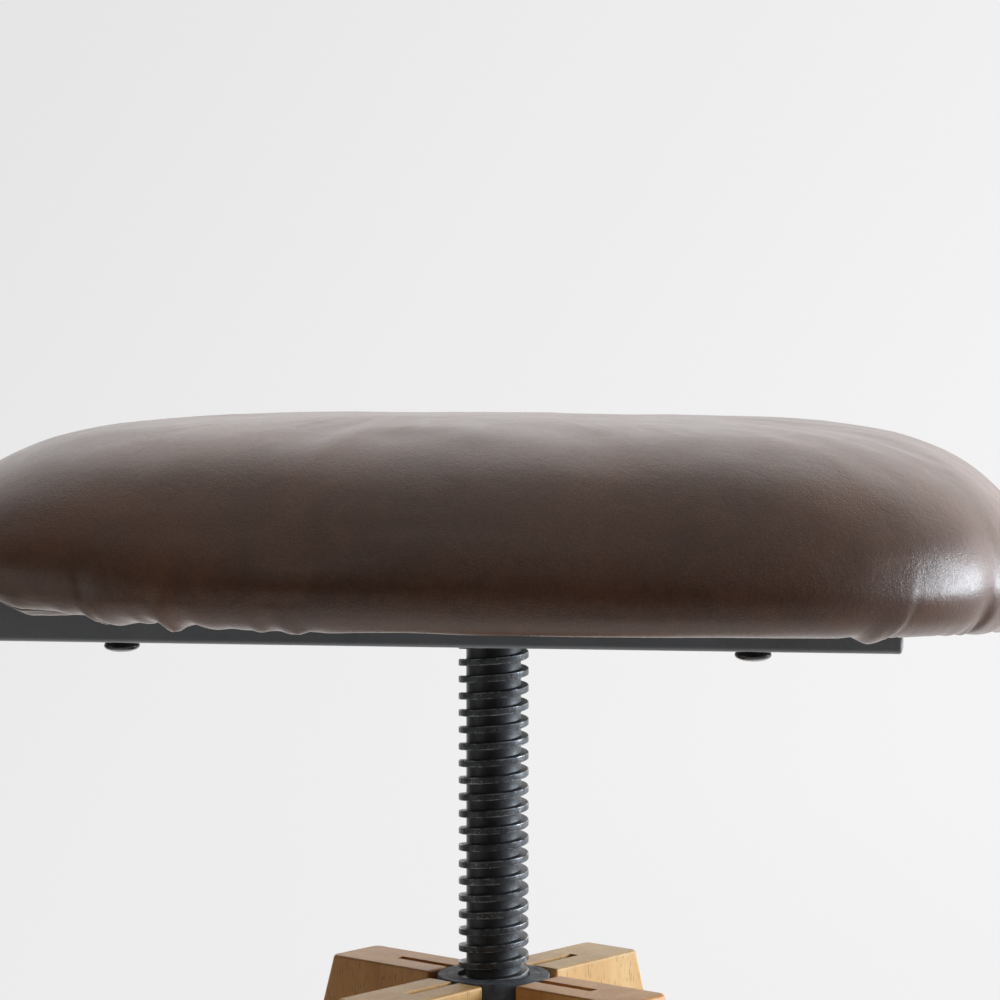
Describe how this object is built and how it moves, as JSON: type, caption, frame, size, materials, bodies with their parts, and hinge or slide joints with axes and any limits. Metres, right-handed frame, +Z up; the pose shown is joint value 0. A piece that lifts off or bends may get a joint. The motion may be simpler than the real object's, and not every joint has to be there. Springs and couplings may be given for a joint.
{
  "type": "adjustable swivel stool",
  "caption": "Stool with a padded rounded-square leather seat on a coarse steel screw that winds up and down in a hub on splayed wooden plank legs.",
  "frame": {"origin": "on the floor, on the axis of the screw", "axes": "+Z up along the screw; the legs stand on the diagonals between X and Y; the front rail of the seat is on the -Y side, turned 14 degrees clockwise seen from above"},
  "size_m": [0.3898, 0.3898, 0.6313],
  "materials": {
    "leather": "satin",
    "foam": "matte",
    "plywood": "matte",
    "dust_cloth": "matte",
    "painted_steel": "satin",
    "black_steel": "satin",
    "zinc_steel": "satin",
    "oak": "satin",
    "black_plastic": "matte",
    "nylon": "satin"
  },
  "bodies": {
    "base": {"footrest_ring": "painted_steel", "hub_tube": "black_steel", "screw_nut": "black_steel", "hub_fin_1": "black_steel", "hub_fin_2": "black_steel", "hub_fin_3": "black_steel", "hub_fin_4": "black_steel", "leg_bolt_upper_1": "black_steel", "leg_bolt_upper_2": "black_steel", "leg_bolt_upper_3": "black_steel", "leg_bolt_upper_4": "black_steel", "leg_bolt_lower_1": "black_steel", "leg_bolt_lower_2": "black_steel", "leg_bolt_lower_3": "black_steel", "leg_bolt_lower_4": "black_steel", "leg_nut_upper_1": "black_steel", "leg_nut_upper_2": "black_steel", "leg_nut_upper_3": "black_steel", "leg_nut_upper_4": "black_steel", "leg_nut_lower_1": "black_steel", "leg_nut_lower_2": "black_steel", "leg_nut_lower_3": "black_steel", "leg_nut_lower_4": "black_steel", "ring_screw_1": "black_steel", "ring_screw_2": "black_steel", "ring_screw_3": "black_steel", "ring_screw_4": "black_steel", "leg_1": "oak", "leg_2": "oak", "leg_3": "oak", "leg_4": "oak", "hub_cap": "black_plastic", "foot_glide_1": "nylon", "foot_glide_2": "nylon", "foot_glide_3": "nylon", "foot_glide_4": "nylon"},
    "guide": {"guide_bush": "nylon"},
    "seat": {"leather_cover": "leather", "foam_pad": "foam", "seat_board": "plywood", "dust_cover": "dust_cloth", "front_rail": "painted_steel", "rear_rail": "painted_steel", "mount_plate": "painted_steel", "screw": "black_steel", "end_washer": "zinc_steel", "end_bolt": "zinc_steel", "front_rail_plug_left": "black_plastic", "front_rail_plug_right": "black_plastic", "rear_rail_plug_left": "black_plastic", "rear_rail_plug_right": "black_plastic", "rail_bolt_front_left": "black_steel", "rail_bolt_front_right": "black_steel", "rail_bolt_rear_left": "black_steel", "rail_bolt_rear_right": "black_steel", "tee_nut_front_left": "zinc_steel", "tee_nut_front_right": "zinc_steel", "tee_nut_rear_left": "zinc_steel", "tee_nut_rear_right": "zinc_steel"}
  },
  "joints": [
    {"name": "seat_height", "type": "slide", "parent": "base", "child": "guide", "axis": [0, 0, 1], "range_m": [-0.088, 0.032]},
    {"name": "seat_turn", "type": "hinge", "parent": "guide", "child": "seat", "pos_m": [0, 0, 0.43], "axis": [0, 0, 1], "range_deg": [-5280, 1920]}
  ],
  "couplings": [
    {"joint": "seat_height", "follows": "seat_turn", "m_per_rad": 0.00095493}
  ]
}
